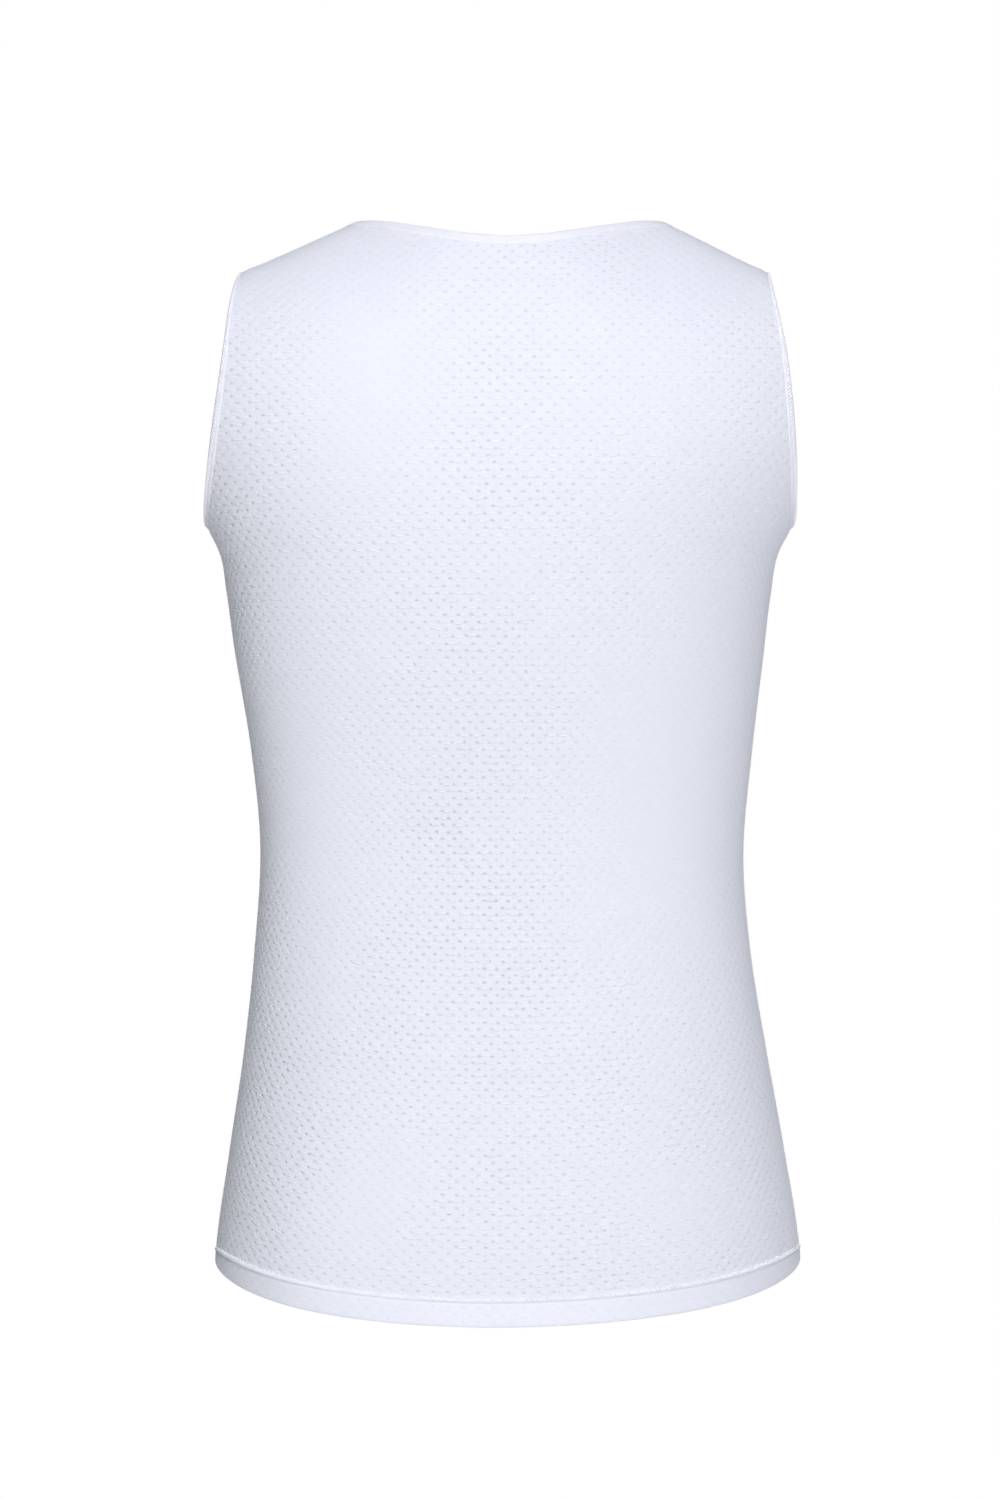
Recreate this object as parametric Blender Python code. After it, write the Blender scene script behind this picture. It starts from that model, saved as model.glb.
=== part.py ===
"""Sleeveless mesh base layer, filled out as it is worn, with no wearer inside.

A front and a back panel with turned-up hems, a folded binding round the neck and one round each
armhole. Metres, +Z up. The origin lies midway between the two high points of the shoulders, where
the neck binding meets the shoulder seams. The front faces -Y and the wearer's left side is +X.
"""

import math
from typing import NamedTuple

import bmesh
import bpy
import numpy as np

# Lengths and widths of the garment. Heights are measured from the top of the neck binding where
# it crosses the shoulder seams.
SIDE_LENGTH = 0.642  # down to the hem at the side seam
BACK_HEM_DROP = 0.0275  # how much lower the hem hangs at the centre back
FRONT_HEM_DROP = 0.006
HEM_SWEEP = 1.4  # more keeps the drop nearer to the centre
CLOTH_DROP = 0.0013  # the cloth at the shoulder lies this far under the top of the binding
NECK_HALF_WIDTH = 0.096
BACK_NECK_DROP = 0.0144
BACK_NECK_FLATNESS = 0.8  # less keeps the neckline low for longer on both sides of the centre
FRONT_NECK_DROP = 0.090
SHOULDER_SLOPE = math.tan(math.radians(24.5))
SHOULDER_TIP_X = 0.1630
UNDERARM_X = 0.182
UNDERARM_Z = -0.187
BACK_ARMHOLE_BOW = 0.25  # how much the back armhole edge bows outwards
FRONT_ARMHOLE_HOLLOW = 0.006  # how far the front armhole edge is cut in
FRONT_ARMHOLE_CURVE = 1.6

# The figure that the cloth is stretched over.
ROUNDNESS = 2.25  # exponent of every section: 2 is an ellipse, more is squarer
SHOULDER_ARCH = 0.10  # height over which the shoulder rounds off from back to front
NECK_CLIMB = 6.0  # how fast the shoulder line climbs on inside the neck opening, per metre


class Level(NamedTuple):
    """The figure's size at one height."""

    z: float
    half_width: float
    back: float
    front: float


LEVELS = (
    Level(0.020, 0.240, 0.036, 0.042),
    Level(0.000, 0.240, 0.046, 0.051),
    Level(-0.030, 0.236, 0.066, 0.064),
    Level(-0.060, 0.228, 0.082, 0.077),
    Level(-0.100, 0.2135, 0.096, 0.092),
    Level(-0.140, 0.2045, 0.104, 0.104),
    Level(-0.165, 0.1930, 0.1065, 0.109),
    Level(-0.187, UNDERARM_X, 0.107, 0.112),
    Level(-0.206, 0.1725, 0.1065, 0.1135),
    Level(-0.230, 0.1682, 0.105, 0.1135),
    Level(-0.266, 0.1635, 0.101, 0.112),
    Level(-0.328, 0.1547, 0.093, 0.108),
    Level(-0.390, 0.1492, 0.088, 0.104),
    Level(-0.452, 0.1532, 0.092, 0.104),
    Level(-0.514, 0.1614, 0.102, 0.107),
    Level(-0.576, 0.1714, 0.112, 0.110),
    Level(-0.638, 0.1804, 0.118, 0.112),
    Level(-0.690, 0.1822, 0.119, 0.113),
)

# Cloth and seams.
WALL = 0.0010
SEAM_GAP = 0.0003
BINDING_WIDTH = 0.0070
BINDING_WALL = 0.0010
BINDING_INSET = BINDING_WALL + SEAM_GAP  # from the fold to the panel's cut edge
FOLD_RADIUS = 0.0009
# Heights off the panel of the binding's four skins, from the outermost in.
BINDING_SKINS = (
    SEAM_GAP + BINDING_WALL,
    SEAM_GAP,
    -WALL - SEAM_GAP,
    -WALL - SEAM_GAP - BINDING_WALL,
)
# Distance out from the cut edge, and height off the panel, round the fold and inside it.
BINDING_FOLD = (
    (BINDING_INSET - FOLD_RADIUS, BINDING_SKINS[0]),
    (BINDING_INSET, BINDING_SKINS[0] - FOLD_RADIUS),
    (BINDING_INSET, BINDING_SKINS[3] + FOLD_RADIUS),
    (BINDING_INSET - FOLD_RADIUS, BINDING_SKINS[3]),
)
BINDING_POCKET = ((SEAM_GAP, BINDING_SKINS[1]), (SEAM_GAP, BINDING_SKINS[2]))


class HemRow(NamedTuple):
    """The turned-up hem at one distance from its fold: how far it stands out, and how thick it is."""

    rise: float
    lift: float
    wall: float


HEM = (
    HemRow(0.0000, -0.0004, 0.0014),
    HemRow(0.0012, 0.0004, 0.0026),
    HemRow(0.0130, 0.0005, 0.0026),
    HemRow(0.0160, 0.0000, 0.0022),
    HemRow(0.0178, 0.0004, 0.0026),
    HemRow(0.0205, 0.0000, WALL),
)

# Finishes.
KNIT_COLOUR = (0.83, 0.85, 0.93)
KNIT_ROUGHNESS = 0.85
TAPE_COLOUR = (0.87, 0.87, 0.94)
TAPE_ROUGHNESS = 0.6

# How finely the solids are faceted.
NECK_COLUMNS = 9  # across half the neckline
SHOULDER_COLUMNS = 6  # across one shoulder seam
BODY_ROWS = 14  # from the hem's stitching to the armhole binding
YOKE_ROWS = 14  # up the armhole
ARC_SAMPLES = 400
GRADIENT_STEP = 1e-5
SETTLING_STEPS = 6
CREASE = math.radians(40)

BACK, FRONT = 1, -1
TIP_Z = -(SHOULDER_TIP_X - NECK_HALF_WIDTH) * SHOULDER_SLOPE - CLOTH_DROP
# Points out in the neck opening and the wearer's left armhole, away from the cloth round them.
NECK_OPENING = np.array([0, 0, 0.1])
ARMHOLE_OPENING = np.array([UNDERARM_X + 0.1, 0, (TIP_Z + UNDERARM_Z) / 2])
SIDE = NECK_COLUMNS + SHOULDER_COLUMNS  # the column of the side seam and the armhole edge
BELOW = len(HEM) - 1 + BODY_ROWS  # the row where the armhole binding meets the side seam
UNDERARM = BELOW + 1  # the row of the underarm point
TOP = UNDERARM + YOKE_ROWS  # the row of the neckline and the shoulder seam


# ---------------------------------------------------------------- the figure


def smooth_curve(knots, values, at):
    """Cubic curve through the knots, whose slopes come from the neighbours on both sides."""
    knots, values = np.asarray(knots)[::-1], np.asarray(values)[::-1]
    slopes = np.gradient(values, knots)
    i = np.clip(np.searchsorted(knots, at) - 1, 0, len(knots) - 2)
    span = knots[i + 1] - knots[i]
    t = (at - knots[i]) / span
    start = (1 + 2 * t) * (1 - t) ** 2 * values[i] + t * (1 - t) ** 2 * span * slopes[i]
    end = t * t * (3 - 2 * t) * values[i + 1] - t * t * (1 - t) * span * slopes[i + 1]
    return start + end


def half_width(z):
    return smooth_curve([r.z for r in LEVELS], [r.half_width for r in LEVELS], z)


def centre_depth(side, z):
    depths = [r.back if side == BACK else r.front for r in LEVELS]
    return smooth_curve([r.z for r in LEVELS], depths, z)


def shoulder_line(x):
    """Height of the shoulder line. Inside the neck opening it climbs on towards the neck."""
    inside = np.maximum(NECK_HALF_WIDTH - np.abs(x), 0)
    slope = (NECK_HALF_WIDTH - np.abs(x)) * SHOULDER_SLOPE
    return slope + NECK_CLIMB * inside**2 - CLOTH_DROP


def fullness(x, z):
    """1 where the figure is at its full depth, and 0 at the side and along the shoulder line."""
    across = np.clip(np.abs(x) / half_width(z), 0, 1) ** ROUNDNESS
    below = np.clip((shoulder_line(x) - z) / SHOULDER_ARCH, 0, 1)
    return (1 - across) * (1 - (1 - below) ** ROUNDNESS)


def surface(side, x, z):
    """Points of the cloth's outer face above or below each x and z, as rows of x, y, z."""
    y = side * centre_depth(side, z) * fullness(x, z) ** (1 / ROUNDNESS)
    return np.stack(np.broadcast_arrays(x, y, z), axis=-1)


def level_of(points):
    """Negative inside the figure, 0 on the cloth's outer face and positive outside it."""
    x, y, z = points[..., 0], points[..., 1], points[..., 2]
    depth = np.where(y >= 0, centre_depth(BACK, z), centre_depth(FRONT, z))
    across = (np.abs(x) / half_width(z)) ** ROUNDNESS
    above = np.clip(1 - (shoulder_line(x) - z) / SHOULDER_ARCH, 0, None) ** ROUNDNESS
    return (np.abs(y) / depth) ** ROUNDNESS - (1 - across) * (1 - above)


def gradient(points):
    steps = np.eye(3) * GRADIENT_STEP
    rise = [level_of(points + s) - level_of(points - s) for s in steps]
    return np.stack(rise, axis=-1) / (2 * GRADIENT_STEP)


def outward(points):
    """Unit normals of the outer face."""
    slope = gradient(points)
    return slope / np.linalg.norm(slope, axis=-1, keepdims=True)


def settled(points):
    """Points near the outer face, moved onto it."""
    for _ in range(SETTLING_STEPS):
        slope = gradient(points)
        short = level_of(points) / np.sum(slope * slope, axis=-1)
        points = points - slope * short[..., None]
    return points


def section(side, z):
    """x round the section at height z, and the share of the way from centre to side at each."""
    angle = np.linspace(0, math.pi / 2, ARC_SAMPLES)
    x = half_width(z) * np.sin(angle) ** (2 / ROUNDNESS)
    y = centre_depth(side, z) * np.abs(np.cos(angle)) ** (2 / ROUNDNESS)
    arc = np.concatenate([[0], np.cumsum(np.hypot(np.diff(x), np.diff(y)))])
    return x, arc / arc[-1]


def place(side, share, z):
    """The point on the outer face at height z, that share of the way from centre to side."""
    x, shares = section(side, z)
    return surface(side, np.interp(share, shares, x), z)


def share_and_height(side, point):
    x, shares = section(side, point[2])
    return np.array([np.interp(point[0], x, shares), point[2]])


# ---------------------------------------------------------------- the cut


def neck_height(side, x):
    """Height of the neckline at x: a shallow wave at the back, a scoop at the front."""
    across = np.clip(np.abs(x) / NECK_HALF_WIDTH, 0, 1)
    if side == BACK:
        wave = (0.5 * (1 + np.cos(math.pi * across))) ** BACK_NECK_FLATNESS
        return -CLOTH_DROP - BACK_NECK_DROP * wave
    return -CLOTH_DROP - FRONT_NECK_DROP * np.sqrt(1 - across**2)


def armhole_x(side, z):
    """x of the armhole edge at height z."""
    t = np.clip((TIP_Z - z) / (TIP_Z - UNDERARM_Z), 0, 1)
    reach = UNDERARM_X - SHOULDER_TIP_X
    if side == BACK:
        return SHOULDER_TIP_X + reach * t * (1 + BACK_ARMHOLE_BOW * (1 - t))
    hollow = FRONT_ARMHOLE_HOLLOW * np.sin(math.pi * t)
    return SHOULDER_TIP_X + reach * t**FRONT_ARMHOLE_CURVE - hollow


def neckline(side):
    """The neckline of one half, from the centre to the shoulder, closely sampled."""
    swing = math.pi / 2 * (1 - np.linspace(1, 0, ARC_SAMPLES) ** 2)
    x = NECK_HALF_WIDTH * np.sin(swing)
    return surface(side, x, neck_height(side, x))


def armhole(side):
    """The armhole edge of one half, from the shoulder to the underarm, closely sampled."""
    swing = np.linspace(0, math.pi, ARC_SAMPLES)
    z = TIP_Z + (UNDERARM_Z - TIP_Z) * (1 - np.cos(swing)) / 2
    return surface(side, armhole_x(side, z), z)


def stations(points, fractions):
    arc = np.concatenate([[0], np.cumsum(np.linalg.norm(np.diff(points, axis=0), axis=1))])
    at = np.array(fractions) * arc[-1]
    return np.stack([np.interp(at, arc, points[:, k]) for k in range(3)], axis=1)


def border(curve, count, ends_on_seam, opening):
    """Even stations along an edge, and those of the line under its binding's free end.

    The line has two stations more than the edge. They go round the corner between the edge and
    the seam where the curve ends."""
    along = np.gradient(curve, axis=0)
    along[-1] = (0, 1, 0)
    along[0] = (0, 1, 0) if ends_on_seam else (1, 0, 0)
    inward = np.cross(outward(curve), along)
    inward /= np.linalg.norm(inward, axis=1, keepdims=True)
    inward *= np.sign(np.sum(inward * (curve - opening), axis=1, keepdims=True))
    line = settled(curve + inward * (BINDING_WIDTH - BINDING_INSET))
    even = [k / count for k in range(count + 1)]
    corner = [(count - 2 / 3) / count, (count - 1 / 3) / count, 1]
    return stations(curve, even), stations(line, even[:-1] + corner)


def hem_height(side, share):
    """Height of the hem's fold: it drops a little at the front and more at the back."""
    x = place(side, share, -SIDE_LENGTH)[0]
    bulge = fullness(x, -SIDE_LENGTH) ** (1 / ROUNDNESS)
    drop = BACK_HEM_DROP if side == BACK else FRONT_HEM_DROP
    return -SIDE_LENGTH - drop * bulge**HEM_SWEEP


def between(start, end, count):
    """Points from start to end in that many even steps."""
    return np.linspace(start, end, count + 1)


def yoke(side, neck_line, armhole_line):
    """Shares and heights from the armhole binding's foot up to the lines under the bindings."""
    top = [share_and_height(side, p) for p in neck_line[: NECK_COLUMNS + 2]]
    right = np.array([share_and_height(side, p) for p in armhole_line[-2:0:-1]])
    first, last = neck_line[NECK_COLUMNS + 1], armhole_line[1]
    starts = [(p[0], shoulder_line(p[0]) - p[2]) for p in (first, last)]
    for x, below in between(*starts, SHOULDER_COLUMNS - 2)[1:]:
        point = np.array([x, 0, shoulder_line(x) - below])
        top.append(share_and_height(side, point))
    top = np.array(top)
    foot = armhole_line[-1][2]
    bottom = between((0, foot), right[0], SIDE - 1)
    left = between((0, foot), top[0], YOKE_ROWS)
    u = np.linspace(0, 1, SIDE)[:, None, None]
    v = np.linspace(0, 1, YOKE_ROWS + 1)[None, :, None]
    ruled = (1 - v) * bottom[:, None] + v * top[:, None] + (1 - u) * left[None] + u * right[None]
    low = (1 - u) * bottom[0] + u * bottom[-1]
    high = (1 - u) * top[0] + u * top[-1]
    return ruled - (1 - v) * low - v * high


def half_panel(side):
    """Points, lifts and walls of the wearer's left half of a panel, by column and by row."""
    neck_edge, neck_line = border(neckline(side), NECK_COLUMNS, False, NECK_OPENING)
    armhole_edge, armhole_line = border(armhole(side), YOKE_ROWS, True, ARMHOLE_OPENING)
    face = np.zeros((SIDE + 1, TOP + 1, 3))
    lift = np.zeros((SIDE + 1, TOP + 1))
    wall = np.full((SIDE + 1, TOP + 1), WALL)
    shares = yoke(side, neck_line, armhole_line)
    for i in range(SIDE):
        for j in range(YOKE_ROWS + 1):
            face[i, BELOW + j] = place(side, *shares[i, j])
    face[SIDE, BELOW] = armhole_line[-1]
    for i in range(SIDE + 1):
        share = shares[i, 0, 0] if i < SIDE else 1
        fold = float(hem_height(side, share))
        heights = [fold + row.rise for row in HEM]
        heights += list(between(heights[-1], face[i, BELOW, 2], BODY_ROWS)[1:-1])
        for j, z in enumerate(heights):
            face[i, j] = place(side, share, z)
        lift[i, : len(HEM)] = [row.lift for row in HEM]
        wall[i, : len(HEM)] = [row.wall for row in HEM]
    face[SIDE, UNDERARM:] = armhole_edge[::-1]
    face[: NECK_COLUMNS + 1, TOP] = neck_edge
    seam = between(neck_line[-1][0], armhole_line[0][0], SHOULDER_COLUMNS - 2)
    for i, x in enumerate(seam, NECK_COLUMNS + 1):
        face[i, TOP] = (x, 0, shoulder_line(x))
    return face, lift, wall


def panel_grid(side):
    """Outer points, normals and walls of a panel, from the wearer's right side to the left."""
    face, lift, wall = half_panel(side)
    normal = outward(face)
    on_seam = seam_mask()
    normal[on_seam, 1] = 0
    normal /= np.linalg.norm(normal, axis=-1, keepdims=True)
    face[on_seam, 1] = side * SEAM_GAP / 2
    face = face + normal * lift[..., None]
    mirror = np.array([-1, 1, 1])
    face, normal = (np.concatenate([g[:0:-1] * mirror, g]) for g in (face, normal))
    return face, normal, np.concatenate([wall[:0:-1], wall])


def seam_mask():
    on_seam = np.zeros((SIDE + 1, TOP + 1), bool)
    on_seam[SIDE, : UNDERARM + 1] = True
    on_seam[NECK_COLUMNS:, TOP] = True
    return on_seam


# ---------------------------------------------------------------- building


def new_object(name, points, faces, material):
    form = bmesh.new()
    corners = [form.verts.new(p) for p in points]
    for face in faces:
        form.faces.new([corners[k] for k in face])
    bmesh.ops.recalc_face_normals(form, faces=form.faces)
    mesh = bpy.data.meshes.new(name)
    form.to_mesh(mesh)
    form.free()
    mesh.materials.append(material)
    mesh.shade_smooth()
    mesh.set_sharp_from_angle(angle=CREASE)
    obj = bpy.data.objects.new(name, mesh)
    bpy.context.scene.collection.objects.link(obj)


def cell(i, j):
    """The two triangles of one cell. Columns count from the centre, negative on the right."""
    a, b, c, d = (i, j), (i + 1, j), (i + 1, j + 1), (i, j + 1)
    rising = (i >= 0) != (j == TOP - 1)
    return ((a, b, c), (a, c, d)) if rising else ((a, b, d), (b, c, d))


def build_panel(name, side, material):
    """A closed wall: the outer grid, the inner grid, and a strip all round between their edges."""
    face, normal, wall = panel_grid(side)
    inner = face - normal * wall[..., None]
    points = np.concatenate([face.reshape(-1, 3), inner.reshape(-1, 3)])
    count = len(points) // 2
    number = {(i, j): (i + SIDE) * (TOP + 1) + j for i, j in nodes(-SIDE, SIDE, 0, TOP)}
    faces = []
    for i, j in nodes(-SIDE, SIDE - 1, 0, TOP - 1):
        for triangle in cell(i, j):
            outer = [number[key] for key in triangle]
            faces += [outer, [k + count for k in outer]]
    rim = [(i, 0) for i in range(-SIDE, SIDE)]
    rim += [(SIDE, j) for j in range(TOP)]
    rim += [(i, TOP) for i in range(SIDE, -SIDE, -1)]
    rim += [(-SIDE, j) for j in range(TOP, 0, -1)]
    for a, b in in_turn(rim):
        faces.append((number[a], number[b], number[b] + count, number[a] + count))
    new_object(name, points, faces, material)


def nodes(first, last, low, high):
    return [(i, j) for i in range(first, last + 1) for j in range(low, high + 1)]


def in_turn(loop):
    """Each member of a closed loop with the next one."""
    return zip(loop, loop[1:] + loop[:1])


def closed_ring(half):
    """Grid places from seam to seam on the back panel, and back again on the front panel."""
    return [(BACK, key) for key in half] + [(FRONT, key) for key in half[-2:0:-1]]


def add_points(points, more):
    points += more
    return range(len(points) - len(more), len(points))


def build_binding(name, grids, half_edge, half_line, cells, opening, material):
    """A folded strip over a panel edge, made from the panels' own points moved out and in.

    half_edge and half_line are the grid places along the cut edge and under the free ends of the
    two legs, on one panel. cells are the panel's cells between them."""
    edge, line = closed_ring(half_edge), closed_ring(half_line)
    seams = {half_edge[0], half_edge[-1], half_line[0], half_line[-1]}
    footing, points, skins, folds = {}, [], {}, {}
    for place_on_grid in edge + line:
        side, (i, j) = place_on_grid
        face, normal, _ = grids[side]
        point = face[i + SIDE, j] * (1, (i, j) not in seams, 1)
        footing[place_on_grid] = point, normal[i + SIDE, j]
        moved = [point + normal[i + SIDE, j] * off for off in BINDING_SKINS]
        skins[place_on_grid] = add_points(points, moved)
    ring = [footing[p][0] for p in edge]
    for k, place_on_grid in enumerate(edge):
        point, normal = footing[place_on_grid]
        away = np.cross(normal, ring[(k + 1) % len(ring)] - ring[k - 1])
        away *= np.sign(np.dot(away, opening - point)) / np.linalg.norm(away)
        turned = [point + away * out + normal * off for out, off in BINDING_FOLD + BINDING_POCKET]
        folds[place_on_grid] = add_points(points, turned)
    faces = []
    for side in (BACK, FRONT):
        for triangle in [t for c in cells for t in cell(*c)]:
            corners = [skins[BACK if key in seams else side, key] for key in triangle]
            faces += [[corner[layer] for corner in corners] for layer in range(4)]
    for a, b in in_turn(line):
        faces += ladder(skins[a][:2], skins[b][:2])
        faces += ladder(skins[a][2:], skins[b][2:])
    for a, b in in_turn(edge):
        round_fold = [[skins[p][0], *folds[p][:4], skins[p][3]] for p in (a, b)]
        round_pocket = [[skins[p][1], *folds[p][4:], skins[p][2]] for p in (a, b)]
        faces += ladder(*round_fold) + ladder(*round_pocket)
    new_object(name, points, faces, material)


def ladder(one, other):
    """Quads between two lines of as many points."""
    return [(one[k], one[k + 1], other[k + 1], other[k]) for k in range(len(one) - 1)]


def cloth(name, colour, roughness):
    material = bpy.data.materials.new(name)
    material.use_nodes = True
    shader = material.node_tree.nodes["Principled BSDF"]
    shader.inputs["Base Color"].default_value = (*colour, 1)
    shader.inputs["Roughness"].default_value = roughness
    shader.inputs["Metallic"].default_value = 0
    return material


def main():
    for obj in list(bpy.data.objects):
        bpy.data.objects.remove(obj)
    mesh_knit = cloth("mesh_knit", KNIT_COLOUR, KNIT_ROUGHNESS)
    elastic = cloth("elastic_binding", TAPE_COLOUR, TAPE_ROUGHNESS)
    build_panel("back_panel", BACK, mesh_knit)
    build_panel("front_panel", FRONT, mesh_knit)
    grids = {side: panel_grid(side) for side in (BACK, FRONT)}
    corner = NECK_COLUMNS + 1
    edge = [(i, TOP) for i in range(-NECK_COLUMNS, NECK_COLUMNS + 1)]
    line = [(i, TOP - 1) for i in range(-corner, corner + 1)]
    line = [(-corner, TOP)] + line + [(corner, TOP)]
    cells = [(i, TOP - 1) for i in range(-corner, corner)]
    build_binding("neck_binding", grids, edge, line, cells, NECK_OPENING, elastic)
    for flank, hand in ((1, "left"), (-1, "right")):
        edge = [(flank * SIDE, j) for j in range(UNDERARM, TOP + 1)]
        line = [(flank * (SIDE - 1), j) for j in range(BELOW, TOP + 1)]
        line = [(flank * SIDE, BELOW)] + line
        cells = [(SIDE - 1 if flank > 0 else -SIDE, j) for j in range(BELOW, TOP)]
        opening = ARMHOLE_OPENING * (flank, 1, 1)
        name = f"armhole_binding_{hand}"
        build_binding(name, grids, edge, line, cells, opening, elastic)


main()
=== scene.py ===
"""The looks of a sleeveless mesh base layer, filled out as worn with no wearer.

Metres, +Z up. The garment's front faces -Y, and the camera looks at its back from +Y. The cloth
is worked out again here from the same sizes as the solids, finely enough to carry its dimples.
"""

import functools
import math
from typing import NamedTuple

import bpy
import numpy as np
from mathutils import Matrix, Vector


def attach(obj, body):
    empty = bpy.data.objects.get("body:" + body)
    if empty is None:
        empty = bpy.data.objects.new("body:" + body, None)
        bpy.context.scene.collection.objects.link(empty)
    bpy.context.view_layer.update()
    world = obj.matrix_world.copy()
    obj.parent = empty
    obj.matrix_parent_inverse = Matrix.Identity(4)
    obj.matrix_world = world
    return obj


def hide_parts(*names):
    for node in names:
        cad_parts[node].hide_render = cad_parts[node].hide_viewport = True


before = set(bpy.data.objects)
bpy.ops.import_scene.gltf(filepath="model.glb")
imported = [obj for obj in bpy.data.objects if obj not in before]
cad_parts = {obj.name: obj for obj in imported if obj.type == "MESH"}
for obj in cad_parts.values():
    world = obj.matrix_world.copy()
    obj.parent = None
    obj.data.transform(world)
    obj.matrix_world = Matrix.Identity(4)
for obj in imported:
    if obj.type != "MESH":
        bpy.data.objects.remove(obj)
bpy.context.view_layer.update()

# ---------------------------------------------------------------- sizes shared with the solids

SIDE_LENGTH = 0.642
BACK_HEM_DROP = 0.0275
FRONT_HEM_DROP = 0.006
HEM_SWEEP = 1.4
CLOTH_DROP = 0.0013
NECK_HALF_WIDTH = 0.096
BACK_NECK_DROP = 0.0144
BACK_NECK_FLATNESS = 0.8
FRONT_NECK_DROP = 0.090
SHOULDER_SLOPE = math.tan(math.radians(24.5))
SHOULDER_TIP_X = 0.1630
UNDERARM_X = 0.182
UNDERARM_Z = -0.187
BACK_ARMHOLE_BOW = 0.25
FRONT_ARMHOLE_HOLLOW = 0.006
FRONT_ARMHOLE_CURVE = 1.6
ROUNDNESS = 2.25
SHOULDER_ARCH = 0.10
NECK_CLIMB = 6.0


class Level(NamedTuple):
    """The figure's size at one height."""

    z: float
    half_width: float
    back: float
    front: float


LEVELS = (
    Level(0.020, 0.240, 0.036, 0.042),
    Level(0.000, 0.240, 0.046, 0.051),
    Level(-0.030, 0.236, 0.066, 0.064),
    Level(-0.060, 0.228, 0.082, 0.077),
    Level(-0.100, 0.2135, 0.096, 0.092),
    Level(-0.140, 0.2045, 0.104, 0.104),
    Level(-0.165, 0.1930, 0.1065, 0.109),
    Level(-0.187, UNDERARM_X, 0.107, 0.112),
    Level(-0.206, 0.1725, 0.1065, 0.1135),
    Level(-0.230, 0.1682, 0.105, 0.1135),
    Level(-0.266, 0.1635, 0.101, 0.112),
    Level(-0.328, 0.1547, 0.093, 0.108),
    Level(-0.390, 0.1492, 0.088, 0.104),
    Level(-0.452, 0.1532, 0.092, 0.104),
    Level(-0.514, 0.1614, 0.102, 0.107),
    Level(-0.576, 0.1714, 0.112, 0.110),
    Level(-0.638, 0.1804, 0.118, 0.112),
    Level(-0.690, 0.1822, 0.119, 0.113),
)


# ---------------------------------------------------------------- the photograph's view

PHOTO_WIDTH = 1000
PHOTO_HEIGHT = 1500
METRES_PER_PIXEL = 0.00062  # in the plane of the side seams
GARMENT_AXIS_PIXEL = 504
SHOULDER_PIXEL = 221.6  # the row of the picture at the origin's height
CAMERA_DISTANCE = 2.6
SENSOR = 36  # its height in millimetres


class Lean(NamedTuple):
    """How far the filled garment stands off its centre plane at one height."""

    z: float
    aside: float


LEANS = (
    Lean(0.020, -0.0035),
    Lean(0.000, -0.0035),
    Lean(-0.040, 0.0004),
    Lean(-0.090, -0.0004),
    Lean(-0.150, 0.0010),
    Lean(-0.190, 0.0028),
    Lean(-0.240, 0.0032),
    Lean(-0.330, 0.0014),
    Lean(-0.450, 0.0010),
    Lean(-0.520, -0.0009),
    Lean(-0.600, -0.0020),
    Lean(-0.700, -0.0026),
)

HEM_HITCH = 0.0014  # how much higher the hem hangs on the wearer's right
HITCH_ALONG = (0.02, -0.09)  # where that comes in along x
HITCH_DOWN = (-0.42, -0.64)  # and along z

# How far the outer halves of the shoulders sink, and where that comes in and goes out along x,
# and comes in along z. Then the same for their very tips.
SHOULDER_SINK = 0.0006
SINK_ALONG = (0.105, 0.145)
SINK_END = (0.150, 0.162)
SINK_DOWN = (-0.075, -0.035)
TIP_DROOP = 0.0008
DROOP_ALONG = (0.1592, 0.1645)
DROOP_DOWN = (-0.045, -0.034)


class Swell(NamedTuple):
    """A soft rise of the back's cloth, or a hollow: its middle, its half width and half height,
    and how far it stands out."""

    x: float
    z: float
    wide: float
    tall: float
    out: float


SWELLS = (
    Swell(0.030, -0.362, 0.085, 0.057, -0.0028),
    Swell(0.000, -0.570, 0.075, 0.062, -0.0030),
    Swell(0.135, -0.625, 0.035, 0.075, 0.0038),
)
SWELL_FADE = 0.030  # how far back of the side seams they are whole

# ---------------------------------------------------------------- the cloth

LATTICE_COLUMNS = 27  # cells of the knit's lattice across half a panel
LATTICE_ROWS = 57  # cells between the hem's stitching and the underarm
YOKE_PITCH = 0.0087  # height of a cell above the underarm
ROW_STRETCH = 0.07  # how much taller the cells get from the hem up to the underarm
PER_CELL = 4  # mesh quads to a cell, each way
DIMPLE = 0.00030  # depth at a lattice point
BRIDGE = 0.00010  # height between lattice points
HEM_RELIEF = 0.30  # share of the relief that shows in the doubled hem
RELIEF_STARTS = (-0.8, 0.2)  # rows of the lattice between which the rest comes in


class Spot(NamedTuple):
    """A place where the knit's relief is weaker, or stronger where the loss is negative."""

    column: float
    row: float
    width: float
    height: float
    loss: float


RELIEF_SPOTS = (
    Spot(9.4, 67, 4.5, 10, 0.75),
    Spot(16, 78, 11, 6, 0.75),
    Spot(-16, 78, 11, 6, 0.7),
    Spot(17, 37, 5.5, 14, 0.75),
    Spot(-14, 36, 9, 15, 0.82),
    Spot(-21, 50, 7, 8, 0.5),
    Spot(-10, 64, 5, 8, 0.4),
    Spot(-12, 5, 5, 5, 0.5),
    Spot(9.7, 6, 3.5, 7, 0.5),
    Spot(22, 14, 6, 18, -0.5),
    Spot(-24, 40, 13, 60, 0.4),
    Spot(1, 28, 6, 9, -0.3),
    Spot(24, 52, 5, 6, -0.8),
)
BACK, FRONT = 1, -1
TIP_Z = -(SHOULDER_TIP_X - NECK_HALF_WIDTH) * SHOULDER_SLOPE - CLOTH_DROP
SHEET_SAMPLES = 60  # heights at which its size is taken

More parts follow.
